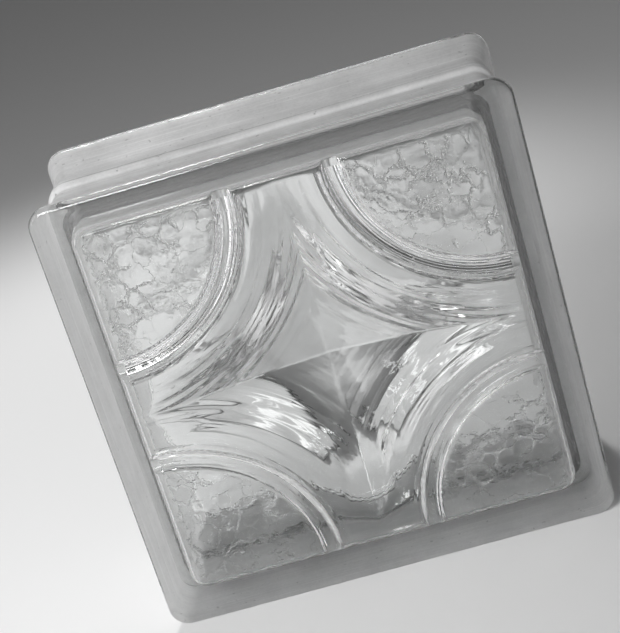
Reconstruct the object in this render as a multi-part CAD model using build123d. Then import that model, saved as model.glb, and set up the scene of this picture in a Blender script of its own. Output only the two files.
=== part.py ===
from build123d import *
import math
import os

os.makedirs("parts", exist_ok=True)

# Hollow glass block, millimetres. It stands on one edge, as it does in a wall.
# X runs along the width, +Z is up and the front face looks towards -Y.
# The origin is at the middle of the bottom edge. Both halves are pressed in
# one mould and fused rim to rim, so the seam lies in the plane Y = 0.

# Overall size of the block
face_size = 190.0
block_depth = 80.0

# Edge of each half: a lip at full size, a slope and the mortar channel
lip_land = 4.0
face_edge_radius = 2.5
channel_depth = 5.0
channel_slope_run = 20.0
lip_corner_radius = 8.0
channel_corner_radius = 6.0

# Fused seam: a round bead on each rim, flattened where the two rims meet
bead_radius = 3.0
bead_below_lip = 3.0
bead_setback = 1.4

# Hollow inside: a pocket that widens from the pane to the seam
pane_thickness = 6.0
wall_inset = 13.0
pocket_growth = 1.5
pocket_corner_radius = 6.5
pocket_floor_radius = 3.5

# Relief pressed into the inner side of each pane, about the field's corners
field_inset = 15.0
panel_radius = 54.0
ring_width = 8.5
ring_height = 3.2

# Star: height over the pane at each width of its diamond outline
star_ridges = [(81.0, -0.3), (67.0, 2.3), (52.0, 7.6), (36.0, 13.9), (18.0, 19.2), (1.5, 22.6)]

# Coves that hollow its four flanks: height at each distance from a field corner
cove_flanks = [(65.0, -0.2), (72.0, 1.2), (77.0, 4.5), (84.0, 11.0), (94.0, 19.0), (114.0, 30.0)]

half_depth = block_depth / 2
field_half = face_size / 2 - field_inset
pocket_half = face_size / 2 - wall_inset
pocket_depth = half_depth - pane_thickness
wall_rise = pocket_depth - pocket_floor_radius
wall_taper = math.degrees(math.atan2(pocket_growth, wall_rise))
relief_root = pane_thickness / 2
relief_reach = pocket_half + 1.0


def rounded_square(size, corner_radius, depth):
    """Rounded square, parallel to the face and at one depth behind it."""
    return Plane.XY.offset(depth) * RectangleRounded(size, size, corner_radius)


def outer_body():
    """Outside of a half: the lip, its slope and the floor of the channel."""
    channel_size = face_size - 2 * channel_depth
    slope_end = lip_land + channel_slope_run
    lip = extrude(rounded_square(face_size, lip_corner_radius, 0), amount=lip_land)
    slope = loft([
        rounded_square(face_size, lip_corner_radius, lip_land),
        rounded_square(channel_size, channel_corner_radius, slope_end),
    ], ruled=True)
    channel = extrude(
        rounded_square(channel_size, channel_corner_radius, slope_end),
        amount=half_depth - slope_end,
    )
    body = lip + slope + channel
    face_edges = body.edges().group_by(Axis.Z)[0]
    return fillet(face_edges, face_edge_radius)


def seam_bead():
    """Bead along the rim of a half, its round section drawn with twelve sides."""
    centre_size = face_size - 2 * (bead_below_lip + bead_radius)
    bead_depth = half_depth - bead_setback
    path = Plane.XY.offset(bead_depth) * RectangleRounded(
        centre_size, centre_size, channel_corner_radius
    ).wire()
    start = Plane(path @ 0, z_dir=path % 0)
    bead = sweep(start * RegularPolygon(bead_radius, 12), path)
    trim = Pos(0, 0, half_depth) * Box(
        2 * face_size, 2 * face_size, 4 * bead_radius,
        align=(Align.CENTER, Align.CENTER, Align.MIN),
    )
    return bead - trim


def pocket():
    """Hollow of a half: a floor with rounded edges and walls that widen to the seam."""
    floor = rounded_square(2 * pocket_half, pocket_corner_radius, pane_thickness)
    well = extrude(floor, amount=pocket_floor_radius + 0.5)
    well = fillet(well.edges().group_by(Axis.Z)[0], pocket_floor_radius)
    mouth_size = 2 * (pocket_half + pocket_growth)
    mouth = rounded_square(mouth_size, pocket_corner_radius + pocket_growth, half_depth)
    return well + extrude(mouth, amount=-wall_rise, taper=wall_taper)


def field_corners():
    """Corners of the patterned field, the centres of the panels, rings and coves."""
    for side_x in (-1, 1):
        for side_y in (-1, 1):
            yield Pos(side_x * field_half, side_y * field_half, pane_thickness)


def turned_profile(points):
    """Full turn of a radial profile about its own axis."""
    return revolve(Plane.XZ * make_face(Polyline(*points, close=True)), Axis.Z, 360)


def corner_ring():
    """Bevelled round ring between a corner panel and the star."""
    middle = panel_radius + ring_width / 2
    crown = []
    for angle in (180, 150, 115, 65, 30, 0):
        turn = math.radians(angle)
        crown.append((
            middle + ring_width / 2 * math.cos(turn),
            ring_height * math.sin(turn),
        ))
    root = relief_root - pane_thickness
    foot = [(panel_radius + ring_width, root), (panel_radius, root)]
    return turned_profile(crown + foot)


def corner_cove():
    """Cutter that clears the panel and ring and hollows the flank of the star."""
    last_reach, last_height = cove_flanks[-1]
    first_reach, first_height = cove_flanks[0]
    return turned_profile(
        [(0, -pane_thickness), (first_reach, -pane_thickness)]
        + cove_flanks
        + [(0, last_height)]
    )


def diamond(reach, height):
    """Square turned by 45 degrees, with its points on the field's middle lines."""
    side = reach * math.sqrt(2)
    return Pos(0, 0, pane_thickness + height) * Rot(0, 0, 45) * Rectangle(side, side)


def star():
    """Four-sided star that rises in facets to the middle, hollowed by four coves."""
    first_reach, first_height = star_ridges[0]
    foot_height = pane_thickness + first_height - relief_root
    body = extrude(diamond(first_reach, relief_root - pane_thickness), amount=foot_height)
    for (reach, height), (next_reach, next_height) in zip(star_ridges, star_ridges[1:]):
        rise = next_height - height
        lean = math.degrees(math.atan2((reach - next_reach) / math.sqrt(2), rise))
        body += extrude(diamond(reach, height), amount=rise, taper=lean)
    cove = corner_cove()
    for place in field_corners():
        body -= place * cove
    return body


def pane_relief():
    """Pattern on the inner side of a pane, run into the walls round it."""
    relief = star()
    ring = corner_ring()
    for place in field_corners():
        relief += place * ring
    reach = extrude(
        rounded_square(2 * relief_reach, pocket_corner_radius, relief_root),
        amount=pocket_depth,
    )
    return relief & reach


def half_block():
    """One pressed half, face down at depth 0 with its rim at the seam."""
    return outer_body() + seam_bead() - pocket() + pane_relief()


half = half_block()
front_shell = Pos(0, -half_depth, face_size / 2) * Rot(-90, 0, 0) * half
back_shell = mirror(front_shell, about=Plane.XZ)

for name, solid in {"front_shell": front_shell, "back_shell": back_shell}.items():
    print(name, "volume", round(solid.volume), "mm3")
    export_step(solid, "parts/" + name + ".step")
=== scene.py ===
import math

import bmesh
import bpy
from mathutils import Matrix, Vector, noise


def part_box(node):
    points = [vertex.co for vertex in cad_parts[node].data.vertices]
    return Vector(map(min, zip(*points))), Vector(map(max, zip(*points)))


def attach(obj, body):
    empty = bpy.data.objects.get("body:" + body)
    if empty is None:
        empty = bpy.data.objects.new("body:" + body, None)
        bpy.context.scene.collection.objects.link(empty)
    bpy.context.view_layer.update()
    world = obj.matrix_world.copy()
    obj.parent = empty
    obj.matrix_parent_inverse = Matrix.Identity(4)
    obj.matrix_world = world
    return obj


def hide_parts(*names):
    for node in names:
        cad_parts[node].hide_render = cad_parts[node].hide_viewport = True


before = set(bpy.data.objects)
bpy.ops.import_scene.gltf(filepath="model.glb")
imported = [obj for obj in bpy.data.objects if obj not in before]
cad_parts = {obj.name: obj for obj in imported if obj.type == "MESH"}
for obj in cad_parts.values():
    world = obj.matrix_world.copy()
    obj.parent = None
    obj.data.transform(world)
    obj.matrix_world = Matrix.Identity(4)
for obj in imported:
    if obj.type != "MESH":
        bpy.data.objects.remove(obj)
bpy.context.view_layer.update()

# The pressed glass halves. Each is one pressing of clear soda-lime glass: a flat
# pane with relief on its inner side, four walls, and a lip, a channel and a bead
# round the outside. The bead of one half is fused to the bead of the other.
front_low, front_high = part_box("front_shell")
half_depth = front_high.y - front_low.y
face_half = (front_high.x - front_low.x) / 2
middle_height = (front_high.z + front_low.z) / 2

pane_thickness = 0.006
field_half = 0.080
pocket_half = 0.082
pocket_floor_radius = 0.0035
pocket_growth = 0.0015
pocket_corner_radius = 0.0065
panel_radius = 0.054
ring_radius = 0.0625
ring_height = 0.0032
ridge_line = (
    (0.0, 0.0230), (0.012, 0.0205), (0.024, 0.0175), (0.036, 0.0139), (0.044, 0.0108),
    (0.052, 0.0076), (0.060, 0.0046), (0.067, 0.0023), (0.074, 0.0006), (0.080, 0.0),
    (0.160, -0.001),
)
cove_line = (
    (0.0625, 0.0), (0.064, -0.0001), (0.068, 0.0001), (0.072, 0.0012), (0.077, 0.0044),
    (0.084, 0.0110), (0.094, 0.0190), (0.114, 0.030),
)
pebble_size = 0.0075
pebble_height = 0.0004
pebble_drift = 0.0022
pebble_fade = 0.002
panel_edge = 0.0008
cove_blend = 0.0005
ring_blend = 0.0002
wall_foot_blend = 0.0004
seam_overlap = 0.00001

lip_corner_radius = 0.008
lip_land = 0.004
face_edge_radius = 0.0025
channel_depth = 0.005
channel_corner_radius = 0.006
channel_slope_run = 0.020
bead_radius = 0.003
bead_below_lip = 0.003
bead_setback = 0.0014
bead_flat = 0.0004
channel_rows = (0.008, 0.001)
lip_row = 0.0005
face_row = 0.001

grid_cells = 224


def smooth_step(low, high, value):
    """0 below low, 1 above high, with a soft turn at both ends."""
    share = min(max((value - low) / (high - low), 0.0), 1.0)
    return share * share * (3 - 2 * share)


def soft_max(a, b, blend):
    """The larger of two heights, with the crease between them rounded."""
    share = min(max(0.5 + (a - b) / (2 * blend), 0.0), 1.0)
    return b + (a - b) * share + blend * share * (1 - share)


def soft_min(a, b, blend):
    """The smaller of two heights, with the crease between them rounded."""
    return -soft_max(-a, -b, blend)


def along_line(points, place):
    """Height on a smooth line through the given points, level with the nearest end outside it."""
    last = len(points) - 1
    for index in range(last):
        (near, low), (far, high) = points[index], points[index + 1]
        if place <= far or index == last - 1:
            share = min(max((place - near) / (far - near), 0.0), 1.0)
            before = points[max(index - 1, 0)]
            after = points[min(index + 2, last)]
            start = (high - before[1]) / (far - before[0]) * (far - near)
            end = (after[1] - low) / (after[0] - near) * (far - near)
            rise = high - low
            return (low + share * (start + share * (3 * rise - 2 * start - end
                    + share * (start + end - 2 * rise))))


def pebbles(x, y, seed):
    """Height of the hammered texture: low uneven islands."""
    drift = noise.noise_vector(Vector((x * 160, y * 160, seed))) * pebble_drift
    spot = Vector(((x + drift.x) / pebble_size, (y + drift.y) / pebble_size, seed))
    gaps, points = noise.voronoi(spot)
    dome = 1 - gaps[0] * 0.9
    tilt = noise.noise(Vector(points[0]) * 3.1)
    swell = noise.noise(Vector((x * 210, y * 210, seed + 5)))
    return pebble_height * (0.6 * dome + 0.5 * tilt + 0.5 * swell)


def relief(x, y, seed):
    """Height of the pressed pattern over the plain pane, at a place in the field."""
    reach = math.hypot(field_half - abs(x), field_half - abs(y))
    height = 0.0
    if reach > ring_radius:
        star = along_line(ridge_line, abs(x) + abs(y))
        height = soft_min(star, along_line(cove_line, reach), cove_blend)
    elif reach < panel_radius:
        height = pebbles(x, y, seed) * smooth_step(0, pebble_fade, panel_radius - reach)
    across = (2 * reach - panel_radius - ring_radius) / (ring_radius - panel_radius)
    if abs(across) < 1:
        height = soft_max(height, ring_height * math.sqrt(1 - across * across), ring_blend)
    return height


def rounded_corner(place, half, radius):
    """Moves a place on a square grid so that the grid's corners follow an arc."""
    flat = half - radius
    over = Vector((max(abs(place.x) - flat, 0), max(abs(place.y) - flat, 0)))
    if over.x <= 0 or over.y <= 0:
        return place.x, place.y
    turned = over * (max(over) / over.length)
    return math.copysign(flat + turned.x, place.x), math.copysign(flat + turned.y, place.y)


def station_place(place, before, after):
    """Carries a place on one rounded square to the like place on the next."""
    half_before, radius_before = before
    half_after, radius_after = after
    flat_before = half_before - radius_before
    flat_after = half_after - radius_after
    over_x = abs(place.x) - flat_before
    over_y = abs(place.y) - flat_before
    if over_x > 1e-9 and over_y > 1e-9:
        turn = math.atan2(over_y, over_x)
        new_x = flat_after + radius_after * math.cos(turn)
        new_y = flat_after + radius_after * math.sin(turn)
    elif over_x > over_y:
        new_x = half_after
        new_y = abs(place.y) * flat_after / flat_before
    else:
        new_x = abs(place.x) * flat_after / flat_before
        new_y = half_after
    return math.copysign(new_x, place.x), math.copysign(new_y, place.y)


def arc_steps(first, last, count):
    """Angles in radians from first to last, in degrees, without the first."""
    return [math.radians(first + (last - first) * (i + 1) / count) for i in range(count)]


# Places of the four finishes in each half's list of materials
GLASS, COAT, HAMMERED, RELIEF = 0, 1, 2, 3

# The line of a half from the foot of its wall round to its flat face. Each step
# gives the half width, corner radius and depth of a rounded square, and its finish.
# A close row beside a turn in the line keeps the turn crisp.
floor_half = pocket_half - pocket_floor_radius
profile = []
for turn in arc_steps(0, 88, 6):
    profile.append((
        floor_half + pocket_floor_radius * math.sin(turn),
        pocket_corner_radius - pocket_floor_radius * (1 - math.sin(turn)),
        pane_thickness + pocket_floor_radius * (1 - math.cos(turn)),
        GLASS,
    ))
wall_start = pane_thickness + pocket_floor_radius
rim_depth = half_depth + seam_overlap
for share in (0.04, 0.5, 0.97, 1.0):
    profile.append((
        pocket_half + pocket_growth * share,
        pocket_corner_radius,
        wall_start + (rim_depth - wall_start) * share,
        GLASS,
    ))
bead_half = face_half - bead_below_lip - bead_radius
bead_start = math.degrees(math.asin((rim_depth - half_depth + bead_setback) / bead_radius))
foot_rise = (face_half - channel_depth - bead_half) / bead_radius
bead_end = -math.degrees(math.acos(foot_rise))
bead_corner = channel_corner_radius
profile.append((
    bead_half + bead_radius * math.cos(math.radians(bead_start)) - bead_flat,
    bead_corner + bead_radius * 0.8,
    rim_depth,
    GLASS,
))
for turn in [math.radians(bead_start)] + arc_steps(bead_start, bead_end, 8):
    out = bead_radius * math.cos(turn)
    profile.append((
        bead_half + out,
        bead_corner + out,
        half_depth - bead_setback + bead_radius * math.sin(turn),
        COAT,
    ))
floor_end = lip_land + channel_slope_run
channel_half = face_half - channel_depth
for row in channel_rows:
    profile.append((channel_half, channel_corner_radius, floor_end + row, COAT))
for share in (0.08, 0.5, 0.92):
    profile.append((
        channel_half + channel_depth * share,
        channel_corner_radius + (lip_corner_radius - channel_corner_radius) * share,
        floor_end - channel_slope_run * share,
        COAT,
    ))
profile.append((face_half, lip_corner_radius, lip_land - lip_row, COAT))
for turn in [0.0] + arc_steps(0, 90, 6):
    profile.append((
        face_half - face_edge_radius * (1 - math.cos(turn)),
        lip_corner_radius - face_edge_radius * (1 - math.cos(turn)),
        face_edge_radius * (1 - math.sin(turn)),
        GLASS,
    ))
profile.append((
    face_half - face_edge_radius - face_row,
    lip_corner_radius - face_edge_radius,
    0.0,
    GLASS,
))


def pressed_half(name, side, seed):
    """One pressed half as a closed mesh, from its patterned pane out to its flat face."""
    mesh = bpy.data.meshes.new(name)
    shape = bmesh.new()
    bmesh.ops.create_grid(shape, x_segments=grid_cells, y_segments=grid_cells, size=floor_half)
    floor_corner = pocket_corner_radius - pocket_floor_radius
    for vert in shape.verts:
        vert.co.x, vert.co.y = rounded_corner(vert.co, floor_half, floor_corner)
        vert.co.z = pane_thickness + relief(vert.co.x, vert.co.y, seed)
    for face in shape.faces:
        middle = face.calc_center_median()
        reach = math.hypot(field_half - abs(middle.x), field_half - abs(middle.y))
        face.material_index = HAMMERED if reach < panel_radius - panel_edge else RELIEF
    rim = [edge for edge in shape.edges if edge.is_boundary]
    place_before = (floor_half, floor_corner)
    for half, radius, depth, finish in profile:
        grown = bmesh.ops.extrude_edge_only(shape, edges=rim)["geom"]
        for vert in (item for item in grown if isinstance(item, bmesh.types.BMVert)):
            vert.co.x, vert.co.y = station_place(vert.co, place_before, (half, radius))
            vert.co.z = depth
            if depth < wall_start and half < pocket_half:
                lift = relief(vert.co.x, vert.co.y, seed)
                vert.co.z = pane_thickness + soft_max(
                    lift, depth - pane_thickness, wall_foot_blend
                )
        for face in (item for item in grown if isinstance(item, bmesh.types.BMFace)):
            face.material_index = finish
        rim = [item for item in grown if isinstance(item, bmesh.types.BMEdge)]
        rim = [edge for edge in rim if edge.is_boundary]
        place_before = (half, radius)
    bmesh.ops.edgeloop_fill(shape, edges=rim)
    bmesh.ops.recalc_face_normals(shape, faces=shape.faces)
    turn_up = Matrix.Rotation(math.radians(-90), 4, "X")
    stand = Matrix.Translation((0, -half_depth, middle_height)) @ turn_up
    shape.transform(stand)
    if side == "back":
        shape.transform(Matrix.Rotation(math.pi, 4, "Z"))
    for face in shape.faces:
        face.smooth = True
    shape.to_mesh(mesh)
    shape.free()
    piece = bpy.data.objects.new(name, mesh)
    bpy.context.scene.collection.objects.link(piece)
    return piece


front_glass = pressed_half("front_glass", "front", 3.0)
back_glass = pressed_half("back_glass", "back", 11.0)


class Signal:
    """A shader socket that takes part in plain sums, each adding its own node."""

    def __init__(self, tree, socket):
        self.tree = tree
        self.socket = socket

    def node(self, kind, inputs=(), output=0, **settings):
        """Any node: its settings first, then the values or links of its sockets."""
        made = self.tree.nodes.new(kind)
        for name, value in settings.items():
            if name == "stops":
                ramp = made.color_ramp
                while len(ramp.elements) < len(value):
                    ramp.elements.new(0.5)
                for element, (position, colour) in zip(ramp.elements, value):
                    element.position = position
                    element.color = (colour, colour, colour, 1)
            else:
                setattr(made, name, value)
        for key, value in dict(inputs).items():
            if isinstance(value, Signal):
                self.tree.links.new(value.socket, made.inputs[key])
            else:
                made.inputs[key].default_value = value
        return Signal(self.tree, made.outputs[output])

    def parts(self):
        """The x, y and z of a vector, each as its own signal."""
        split = self.node("ShaderNodeSeparateXYZ", {0: self}).socket.node
        return [Signal(self.tree, output) for output in split.outputs]

    def sum(self, operation, *values):
        """A Math node on any mix of signals and numbers."""
        return self.node("ShaderNodeMath", dict(enumerate(values)), operation=operation)

    def __add__(self, other):
        return self.sum("ADD", self, other)

    def __sub__(self, other):
        return self.sum("SUBTRACT", self, other)

    def __rsub__(self, other):
        return self.sum("SUBTRACT", other, self)

    def __mul__(self, other):
        return self.sum("MULTIPLY", self, other)

    __radd__ = __add__
    __rmul__ = __mul__


def new_material(name):
    """An empty node material, with its place on the object as a first signal."""
    material = bpy.data.materials.new(name)
    material.use_nodes = True
    tree = material.node_tree
    tree.nodes.clear()
    coordinates = tree.nodes.new("ShaderNodeTexCoord")
    return material, Signal(tree, coordinates.outputs["Object"])


def finish_surface(material, shader):
    """Joins a shader to the material's output."""
    output = material.node_tree.nodes.new("ShaderNodeOutputMaterial")
    material.node_tree.links.new(shader.socket, output.inputs["Surface"])


def pressed_glass(place, normal):
    """Clear soda-lime glass with a breath of haze left by the mould."""
    haze = place.node("ShaderNodeTexNoise", {"Vector": place, "Scale": 35.0, "Detail": 4.0})
    return place.node("ShaderNodeBsdfPrincipled", {
        "Base Color": (0.936, 0.943, 0.941, 1),
        "Roughness": haze * 0.03,
        "IOR": 1.52,
        "Transmission Weight": 1.0,
        "Normal": normal,
    })


glass, place = new_material("clear_pressed_glass")
waves = place.node("ShaderNodeTexNoise", {"Vector": place, "Scale": 22.0, "Detail": 1.0})
surface_waves = place.node(
    "ShaderNodeBump", {"Height": waves, "Strength": 0.05, "Distance": 0.002}
)
finish_surface(glass, pressed_glass(place, surface_waves))

relief_glass, place = new_material("relief_glass")
across, backward, upward = place.parts()
side_gap = field_half - place.sum("ABSOLUTE", across)
height_gap = field_half - place.sum("ABSOLUTE", upward - middle_height)
reach = place.sum("SQRT", side_gap * side_gap + height_gap * height_gap)
turn = place.sum("ARCTAN2", side_gap, height_gap)

# Fine lines along each ring. They are faint on the two lower rings.
flutes = place.node("ShaderNodeValToRGB", {"Fac": (reach - 0.052) * 71.43}, stops=(
    (0.16, 0.5), (0.205, 0.36), (0.245, 0.54), (0.285, 0.38), (0.325, 0.56), (0.365, 0.4),
    (0.41, 0.6), (0.47, 0.5), (0.53, 0.2), (0.585, 0.5), (0.64, 0.62), (0.71, 0.5),
    (0.79, 0.4), (0.87, 0.02), (0.96, 0.5),
))
flute_depth = 2.6 * place.node(
    "ShaderNodeValToRGB", {"Fac": upward * 5}, stops=((0.4, 0.3), (0.6, 1.0))
)

# Drawn lines along the coves, fainter low down, on the back half and in the middle.
along = place.node("ShaderNodeCombineXYZ", {0: reach * 300, 1: turn * 0.5, 2: across})
drawn = place.node("ShaderNodeTexNoise", {"Vector": along, "Scale": 1.0, "Detail": 0.6})
fine_along = place.node("ShaderNodeCombineXYZ", {0: reach * 900, 1: turn * 0.5, 2: across})
fine_lines = place.node(
    "ShaderNodeTexNoise", {"Vector": fine_along, "Scale": 1.0, "Detail": 0.0}
)
calm_middle = place.node(
    "ShaderNodeValToRGB", {"Fac": reach * 10}, stops=((0.8, 1.0), (1.0, 0.12))
)
drawn_depth = 1.2 * place.node(
    "ShaderNodeValToRGB", {"Fac": upward * 5 - backward * 4}, stops=((0.3, 0.3), (0.62, 1.0))
)
pressed_lines = place.node("ShaderNodeBump", {
    "Height": flutes * flute_depth + (drawn * drawn_depth + fine_lines * 0.08) * calm_middle,
    "Strength": 1.0,
    "Distance": 0.001,
})
finish_surface(relief_glass, pressed_glass(place, pressed_lines))

hammered, place = new_material("hammered_glass")
wander = place.node("ShaderNodeTexNoise", {
    "Vector": place, "Scale": 170.0, "Detail": 4.0, "Roughness": 0.65,
}, output=1)
torn = place.node(
    "ShaderNodeVectorMath", {0: wander, 1: (0.5, 0.5, 0.5)}, operation="SUBTRACT"
)
torn = place.node(
    "ShaderNodeVectorMath", {0: torn, 1: (0.0085, 0.0085, 0.0085)}, operation="MULTIPLY"
)
torn = place.node("ShaderNodeVectorMath", {0: place, 1: torn}, operation="ADD")
islands = place.node("ShaderNodeTexVoronoi", {
    "Vector": torn, "Scale": 115.0, "Smoothness": 0.05,
}, output=1, feature="SMOOTH_F1")
island_heights = islands.parts()[0]
gaps = place.node(
    "ShaderNodeTexVoronoi", {"Vector": torn, "Scale": 115.0}, feature="DISTANCE_TO_EDGE"
)
crack = place.node(
    "ShaderNodeValToRGB", {"Fac": gaps}, stops=((0.0, 1.0), (0.03, 0.8), (0.1, 0.0))
)
strength = place.node("ShaderNodeTexNoise", {"Vector": place, "Scale": 75.0, "Detail": 1.0})
strength = place.node("ShaderNodeValToRGB", {"Fac": strength}, stops=((0.46, 0.0), (0.58, 1.0)))
grain = place.node("ShaderNodeTexNoise", {"Vector": place, "Scale": 1500.0, "Detail": 2.0})
pits = place.node("ShaderNodeTexNoise", {"Vector": place, "Scale": 480.0, "Detail": 2.0})
across, _, upward = place.parts()
depth_of_press = across * 1.6 + upward * 3.2 + 0.5
peening = (island_heights * 0.4 - crack * strength * 0.45) * depth_of_press
peen = place.node("ShaderNodeBump", {
    "Height": peening + pits * 0.09 + grain * 0.016,
    "Strength": 1.0,
    "Distance": 0.001,
})
finish_surface(hammered, pressed_glass(place, peen))

coat, place = new_material("matt_edge_coat")
from_seam = place.sum("ABSOLUTE", place.parts()[1])
cloud = place.node("ShaderNodeTexNoise", {
    "Vector": place, "Scale": 45.0, "Detail": 6.0, "Roughness": 0.65,
})
thickness = place.node(
    "ShaderNodeValToRGB", {"Fac": cloud}, stops=((0.32, 0.55), (0.68, 0.82))
)

# Marks in the coat: fine streaks along the block, specks, light dashes, the dark seam.
brushed = place.node(
    "ShaderNodeVectorMath", {0: place, 1: (14.0, 700.0, 14.0)}, operation="MULTIPLY"
)
brush_lines = place.node("ShaderNodeTexNoise", {"Vector": brushed, "Scale": 1.0, "Detail": 2.0})
dirt = place.node("ShaderNodeTexNoise", {"Vector": place, "Scale": 420.0, "Detail": 1.0})
dirt = place.node("ShaderNodeValToRGB", {"Fac": dirt}, stops=((0.735, 0.0), (0.76, 1.0)))
dragged = place.node(
    "ShaderNodeVectorMath", {0: place, 1: (20.0, 950.0, 20.0)}, operation="MULTIPLY"
)
dashes = place.node("ShaderNodeTexNoise", {"Vector": dragged, "Scale": 1.0, "Detail": 1.0})
dashes = place.node("ShaderNodeValToRGB", {"Fac": dashes}, stops=((0.64, 0.0), (0.68, 1.0)))
seam_line = place.node("ShaderNodeValToRGB", {
    "Fac": from_seam * 1000 + brush_lines * 0.3,
}, stops=((0.35, 1.0), (0.6, 0.0)))

# How far the coat reaches over the lip and where it ends thick, with pale bands of painted
# highlight along the bead's front flank and beside the lip.
wobble = place.node("ShaderNodeTexNoise", {"Vector": place, "Scale": 60.0, "Detail": 4.0})
from_face = (half_depth - from_seam) * 100 + wobble * 0.35 - 0.2
covered = place.node("ShaderNodeValToRGB", {"Fac": from_face}, stops=((0.33, 0.0), (0.52, 1.0)))
thick_edge = place.node("ShaderNodeValToRGB", {"Fac": from_face}, stops=((0.4, 1.0), (0.52, 0.0)))
painted_highlight_bands = place.node("ShaderNodeValToRGB", {"Fac": from_seam * 25 + cloud * 0.06}, stops=(
    (0.0, 0.0), (0.08, 0.3), (0.12, 1.0), (0.145, 1.0), (0.17, 0.0), (0.8, 0.0),
    (0.86, 0.6), (1.0, 0.8),
))
grain = place.node("ShaderNodeTexNoise", {"Vector": place, "Scale": 900.0, "Detail": 3.0})
tone = thickness + (brush_lines - 0.5) * 0.35 + (grain - 0.5) * 0.3
# Lighter where the coat ends thick, along the painted highlight bands and at the dashes.
tone = tone + thick_edge * 0.05 + painted_highlight_bands * 0.2 + dashes * 0.16
tone = tone * (1 - dirt * 0.6) * (1 - seam_line * 0.7)
coat_bump = place.node("ShaderNodeBump", {
    "Height": grain * 0.05 + brush_lines * 0.06 + thick_edge * 0.04 - dirt * 0.1,
    "Strength": 1.0,
    "Distance": 0.001,
})
film = place.node("ShaderNodeBsdfPrincipled", {
    "Base Color": tone,
    "Roughness": 0.5,
    "IOR": 1.45,
    "Normal": coat_bump,
})
glow = place.node("ShaderNodeBsdfTranslucent", {"Color": (0.92, 0.92, 0.92, 1)})
coated = place.node("ShaderNodeMixShader", {0: 0.5, 1: film, 2: glow})
bare = pressed_glass(place, coat_bump)
finish_surface(coat, place.node("ShaderNodeMixShader", {0: covered, 1: bare, 2: coated}))

for piece, node in ((front_glass, "front_shell"), (back_glass, "back_shell")):
    for finish in (glass, coat, hammered, relief_glass):
        piece.data.materials.append(finish)
    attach(piece, "root")
    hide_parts(node)

# The floor. A plain pale sheet that runs far behind the block.
floor_mesh = bpy.data.meshes.new("floor")
floor_shape = bmesh.new()
bmesh.ops.create_grid(floor_shape, x_segments=1, y_segments=1, size=6)
floor_shape.to_mesh(floor_mesh)
floor_shape.free()
floor = bpy.data.objects.new("floor", floor_mesh)
bpy.context.scene.collection.objects.link(floor)
paper, place = new_material("pale_paper")
finish_surface(paper, place.node("ShaderNodeBsdfPrincipled", {
    "Base Color": (0.78, 0.78, 0.78, 1),
    "Roughness": 0.8,
}))
floor_mesh.materials.append(paper)

# The studio light. A weak panel at the left, a soft panel in front aimed low,
# a pool of light thrown on the floor from behind, and a dim room. The room has a pale
# band behind the block, with brighter strips that show as streaks in the coves.
def turn_towards(lamp, aim):
    """Turns a lamp so that it shines at a place."""
    lamp.rotation_euler = (Vector(aim) - lamp.location).to_track_quat("-Z", "Y").to_euler()


def soft_panel(name, place, aim, width, height, power):
    """A rectangular panel of soft light, aimed at a place."""
    light = bpy.data.lights.new(name, "AREA")
    light.shape = "RECTANGLE"
    light.size = width
    light.size_y = height
    light.energy = power
    lamp = bpy.data.objects.new(name, light)
    lamp.location = place
    turn_towards(lamp, aim)
    bpy.context.scene.collection.objects.link(lamp)


block_middle = (0, 0, middle_height)
block_foot = (0, 0, 0.03)
soft_panel("left_panel", (-0.55, -0.3, 0.35), block_middle, width=0.2, height=0.35, power=0.8)
soft_panel("front_panel", (-0.36, -0.75, 0.66), block_foot, width=0.5, height=0.35, power=9)

pool_light = bpy.data.lights.new("pool", "SPOT")
pool_light.energy = 33
pool_light.spot_size = math.radians(39)
pool_light.spot_blend = 0.8
pool_light.shadow_soft_size = 0.12
pool = bpy.data.objects.new("pool", pool_light)
pool.location = (-0.2, 0.95, 0.92)
turn_towards(pool, (-0.1, 0.24, 0))
bpy.context.scene.collection.objects.link(pool)

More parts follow.
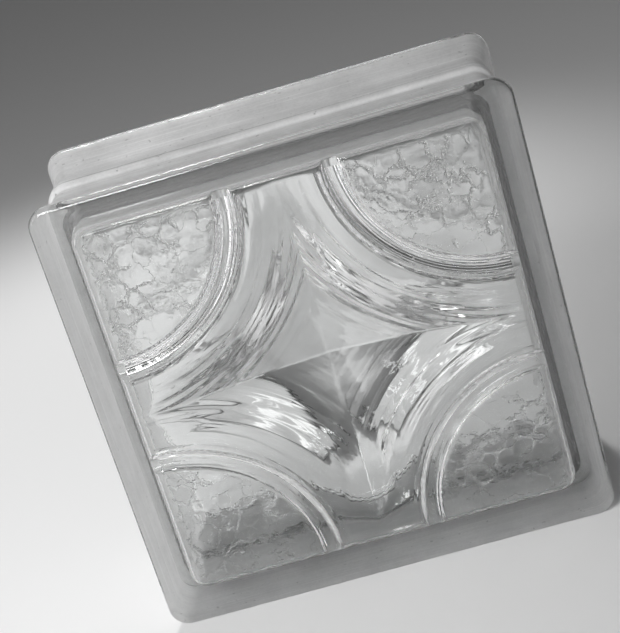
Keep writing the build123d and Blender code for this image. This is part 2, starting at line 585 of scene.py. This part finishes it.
world = bpy.data.worlds.new("studio_room")
bpy.context.scene.world = world
world.use_nodes = True
room = world.node_tree
looked_at = room.nodes.new("ShaderNodeTexCoord")
direction = Signal(room, looked_at.outputs["Generated"])
sideways, behind, upward = direction.parts()
strips = direction.node("ShaderNodeValToRGB", {"Fac": sideways * 0.5 + 0.5}, stops=(
    (0.22, 0.0), (0.26, 0.2), (0.29, 0.2), (0.3, 1.0), (0.32, 1.0), (0.33, 0.2),
    (0.38, 0.2), (0.42, 0.02), (0.5, 0.0), (0.56, 0.08), (0.6, 0.0), (0.65, 0.0),
    (0.68, 0.2), (0.7, 0.2), (0.71, 1.0), (0.725, 1.0), (0.735, 0.2), (0.78, 0.0),
))
low_band = direction.node("ShaderNodeValToRGB", {"Fac": upward}, stops=(
    (0.0, 0.0), (0.03, 1.0), (0.35, 1.0), (0.5, 0.0),
))
back_side = direction.node(
    "ShaderNodeValToRGB", {"Fac": behind}, stops=((0.0, 0.0), (0.2, 1.0))
)
room_level = 0.05
pale_band = (strips * 0.7 + 0.47) * low_band * back_side
room.links.new((pale_band + room_level).socket, room.nodes["Background"].inputs["Color"])

# The camera, turned as the photo shows the block.
image_width = 620
focal_length_px = 1766.6
sensor_width = 36.0
camera_azimuth = math.radians(4.38)
camera_height_angle = math.radians(21.8)
camera_roll = math.radians(-17.33)
camera_distance = 0.685
camera_target = Vector((-0.0023, -half_depth, 0.119))

towards_camera = Vector((
    math.sin(camera_azimuth) * math.cos(camera_height_angle),
    -math.cos(camera_azimuth) * math.cos(camera_height_angle),
    math.sin(camera_height_angle),
))
level_right = (-towards_camera).cross(Vector((0, 0, 1))).normalized()
level_up = level_right.cross(-towards_camera)
picture_right = level_right * math.cos(camera_roll) + level_up * math.sin(camera_roll)
picture_up = level_up * math.cos(camera_roll) - level_right * math.sin(camera_roll)
camera_place = camera_target + towards_camera * camera_distance

lens = bpy.data.cameras.new("camera")
lens.sensor_fit = "HORIZONTAL"
lens.sensor_width = sensor_width
lens.lens = sensor_width * focal_length_px / image_width
lens.clip_start = 0.01
camera = bpy.data.objects.new("camera", lens)
camera.matrix_world = Matrix((
    (picture_right.x, picture_up.x, towards_camera.x, camera_place.x),
    (picture_right.y, picture_up.y, towards_camera.y, camera_place.y),
    (picture_right.z, picture_up.z, towards_camera.z, camera_place.z),
    (0, 0, 0, 1),
))
bpy.context.scene.collection.objects.link(camera)
bpy.context.scene.camera = camera

bpy.context.scene.view_settings.view_transform = "Standard"

# Enough bounces for light to cross both halves.
light_paths = bpy.context.scene.cycles
light_paths.max_bounces = 16
light_paths.glossy_bounces = 12
light_paths.transmission_bounces = 16
